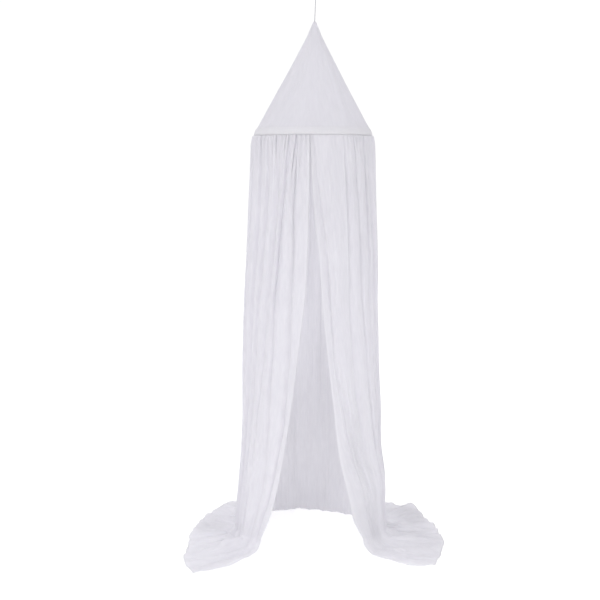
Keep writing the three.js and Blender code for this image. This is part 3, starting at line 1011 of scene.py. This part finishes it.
def crownProfile():
    shape = crown
    lastHeight, lastRadius = shape["sections"][-1]
    slope = math.atan2(shape["hoopRadius"] + shape["wrap"] - lastRadius, lastHeight - shape["hoopHeight"])
    centre = Vector((shape["hoopRadius"], 0, shape["hoopHeight"]))
    outward = Vector((math.cos(slope), 0, math.sin(slope)))
    upward = Vector((-math.sin(slope), 0, math.cos(slope)))
    tangent = centre + outward * shape["wrap"]
    marks = [tangent] + [Vector((radius, 0, height)) for height, radius in reversed(shape["sections"])]
    dense = curveThrough(marks, shape["profileStep"])
    cone = [dense[0]]
    run = 0.0
    for last, here in zip(dense, dense[1:]):
        run += (here - last).length
        if run >= (shape["closeStep"] if len(cone) < shape["closeRows"] else shape["openStep"]):
            cone.append(here)
            run = 0.0
    cone[-1] = dense[-1]
    arc = []
    for step in range(1, shape["wrapSteps"] + 1):
        turn = math.pi * step / shape["wrapSteps"]
        arc.append(centre + (outward * math.cos(turn) - upward * math.sin(turn)) * shape["wrap"])
    flapFoot = centre - outward * shape["wrap"]
    flapHead = centre + outward * (shape["wrap"] - shape["flapGap"]) + upward * shape["casing"]
    flapSteps = shape["flapSteps"]
    flap = [flapFoot.lerp(flapHead, step / flapSteps) for step in range(1, flapSteps + 1)]
    return [*reversed(cone), *arc, *flap], slope, tangent


def crownCreaseAt(angle, height, radial):
    depth = 0.0
    spare = creaseEnds["spare"]
    for line, deep, width in crownCreases:
        heights = [high for _, high in line]
        top, bottom = heights[0], heights[-1]
        if not bottom - spare < height < top + spare:
            continue
        middle = listAt(height, heights, [across for across, _ in line])
        away = radial * math.radians(angle - middle)
        if abs(away) < 3 * width:
            ends = smoothStep(top + spare, top - creaseEnds["top"], height)
            ends *= smoothStep(bottom - spare, bottom + creaseEnds["bottom"], height)
            depth += deep * ends * bell(away, width)
    return depth


def crownRelief(angle, slant, radial, height):  # slant is the way up the cone from the hoop
    shape = crown
    band = shape["casing"]
    below, above = shape["casingEdge"]
    onBand = 1 - smoothStep(band + below, band + above, slant)
    onBand *= smoothStep(0, shape["casingFoot"], slant)
    joint = 1 - smoothStep(*shape["jointEdge"], abs(angle) * shape["hoopRadius"])
    relief = (shape["casingRise"] + shape["joint"] * joint) * onBand
    relief += shape["casingPuff"] * math.sin(math.pi * min(1, max(0, slant / band)))
    relief -= shape["groove"] * bell(slant - band + shape["seamInset"], shape["grooveWidth"])
    ring = Vector((math.cos(angle), math.sin(angle), 0))
    pucker = noise.noise(ring * 26 + Vector((0, 0, slant * 14)))
    relief += shape["pucker"] * pucker * bell(slant - band, shape["puckerReach"])
    if slant > band:
        free = (slant - band) / shape["slantLength"]
        span = math.sin(math.pi * min(1, max(0, free))) ** 0.7
        slack = -shape["slackMiddle"]
        for share, around, up, offset in shape["slack"]:
            slack += share * noise.noise(ring * around + Vector((0, 0, free * up + offset)))
        relief += shape["wrinkle"] * slack * span * min(1, radial / shape["calmRadius"])
        relief -= crownCreaseAt(math.degrees(angle), height, radial)
    return relief


def spinProfile(bm, profile):
    verts = [bm.verts.new(point) for point in profile]
    edges = [bm.edges.new(pair) for pair in zip(verts, verts[1:])]
    bmesh.ops.spin(
        bm,
        geom=[*verts, *edges],
        cent=(0, 0, 0),
        axis=(0, 0, 1),
        angle=math.tau,
        steps=crown["around"],
        use_merge=True,
    )
    bmesh.ops.remove_doubles(bm, verts=bm.verts, dist=0.00001)
    top = max(vert.co.z for vert in bm.verts) - 0.0001
    rim = [edge for edge in bm.edges if edge.is_boundary and all(vert.co.z > top for vert in edge.verts)]
    bmesh.ops.contextual_create(bm, geom=rim)
    bmesh.ops.recalc_face_normals(bm, faces=bm.faces)
    bm.normal_update()


def makeCrown(material):
    shape = crown
    profile, slope, tangent = crownProfile()
    bm = bmesh.new()
    uvLayer = bm.loops.layers.uv.new("cloth")
    hemLayer = bm.verts.layers.float.new("hem")
    spinProfile(bm, profile)
    casingTop = shape["hoopHeight"] + shape["casing"]
    places = {}
    seam = []
    for vert in bm.verts:
        angle = math.atan2(vert.co.x, -vert.co.y)
        slant = (vert.co.z - tangent.z) / math.cos(slope)
        places[vert] = (angle, slant)
        vert[hemLayer] = 0.5
        outside = vert.normal.dot(Vector((math.sin(angle), -math.cos(angle), 0))) > 0
        if outside and slant > -0.0001:
            radial = math.hypot(vert.co.x, vert.co.y)
            vert.co += vert.normal * crownRelief(angle, slant, radial, vert.co.z)
            vert[hemLayer] = 0.5 - 0.5 * smoothStep(shape["casing"], shape["casing"] + 0.001, slant)
            if abs(slant - shape["casing"] + shape["seamInset"]) < shape["closeStep"] * 0.5:
                seam.append((angle, vert))
        rise = max(0, (vert.co.z - casingTop) / (tipSpot["height"] - casingTop))  # the cone leans to its tip
        vert.co = inRoom(vert.co.x + tipSpot["right"] * rise, vert.co.y, vert.co.z)
    bm.normal_update()
    for face in bm.faces:
        middle = face.calc_center_median()
        centre = math.atan2(middle.x - axisRight, -middle.y)
        for loop in face.loops:
            angle, slant = places[loop.vert]
            angle = centre + math.remainder(angle - centre, math.tau)  # a face's corners stay together
            loop[uvLayer].uv = (angle * shape["hoopRadius"], slant)
    seam.sort(key=lambda item: item[0])
    seamLine = [(vert.co.copy(), vert.normal.copy()) for _, vert in seam]
    seamLine.append(seamLine[0])
    piece = makePiece("clothCrown", bm, material, "crown_cloth", "crown")
    addThickness(piece, shape["thickness"], -1)
    return piece, seamLine


crownPiece, crownSeam = makeCrown(makeClothMaterial(crownLook))
crownThread = sewStitches("crownStitches", [crownSeam], threadMaterial, "crown_cloth")
hoopPiece = bpy.data.objects["hoop"]
hoopPiece.material_slots[0].material = makeHoopMaterial()
print("crown made")

studio = {
    "backdrop": 1.04,
    "room": 0.44, "roomAcross": 0.343, "roomAlong": 0.503, "roomFront": 0.041, "roomLeft": 0.013,
    "suns": [((0.1, 0.5, -0.85), 0.5, 20), ((0.5, 0.85, -0.25), 0.167, 20)],  # direction, strength, spread
    "floorSize": 14, "floorDrop": 0.0003, "floorColour": (0.96, 0.96, 0.96), "floorGlow": 0.39,
}


def makeFloor():
    bm = bmesh.new()
    bmesh.ops.create_grid(bm, x_segments=1, y_segments=1, size=studio["floorSize"])
    bmesh.ops.translate(bm, verts=bm.verts, vec=(0, 0, floorLevel - studio["floorDrop"]))
    paint = newPaint("paleFloor")
    surface = paint.principled({
        "Base Color": studio["floorColour"],
        "Roughness": 0.9,
        "Specular IOR Level": 0.1,
        "Emission Color": (1, 1, 1),
        "Emission Strength": studio["floorGlow"],
    })
    floor = meshObject("studioFloor", bm, paint.finish(surface))


def makeSun(name, direction, strength, spread):
    data = bpy.data.lights.new(name, "SUN")
    data.energy = strength
    data.angle = math.radians(spread)
    lamp = placeObject(name, data)
    lamp.location = inRoom(0, 0, 4)
    lamp.rotation_euler = Vector(direction).to_track_quat("-Z", "Y").to_euler()


def makeWorld():  # brighter walls than ceiling, and a little brighter to the front and left
    world = bpy.data.worlds.new("studio")
    bpy.context.scene.world = world
    paint = Paint(world)
    place = paint.coordinates("Generated")
    across, along = (paint.node("ShaderNodeSeparateXYZ", {}, {0: place}, axis) for axis in "XY")
    room = abs(across) * studio["roomAcross"] + abs(along) * studio["roomAlong"]
    room = room - along * studio["roomFront"] - across * studio["roomLeft"] + studio["room"]
    seen = paint.node("ShaderNodeLightPath", {}, {}, "Is Camera Ray")
    backdrop = {"Factor": seen, "A": room, "B": studio["backdrop"]}  # even and white behind the object
    strength = paint.node("ShaderNodeMix", {}, backdrop, "Result")
    glow = paint.node("ShaderNodeBackground", {}, {"Color": (1, 1, 1), "Strength": strength})
    paint.finish(glow, "ShaderNodeOutputWorld")


makeFloor()
makeWorld()
for index, sun in enumerate(studio["suns"]):
    makeSun("softKey" + str(index + 1), *sun)
view = bpy.context.scene.view_settings
view.view_transform = "Standard"
view.look = "None"
print("floor and light made")
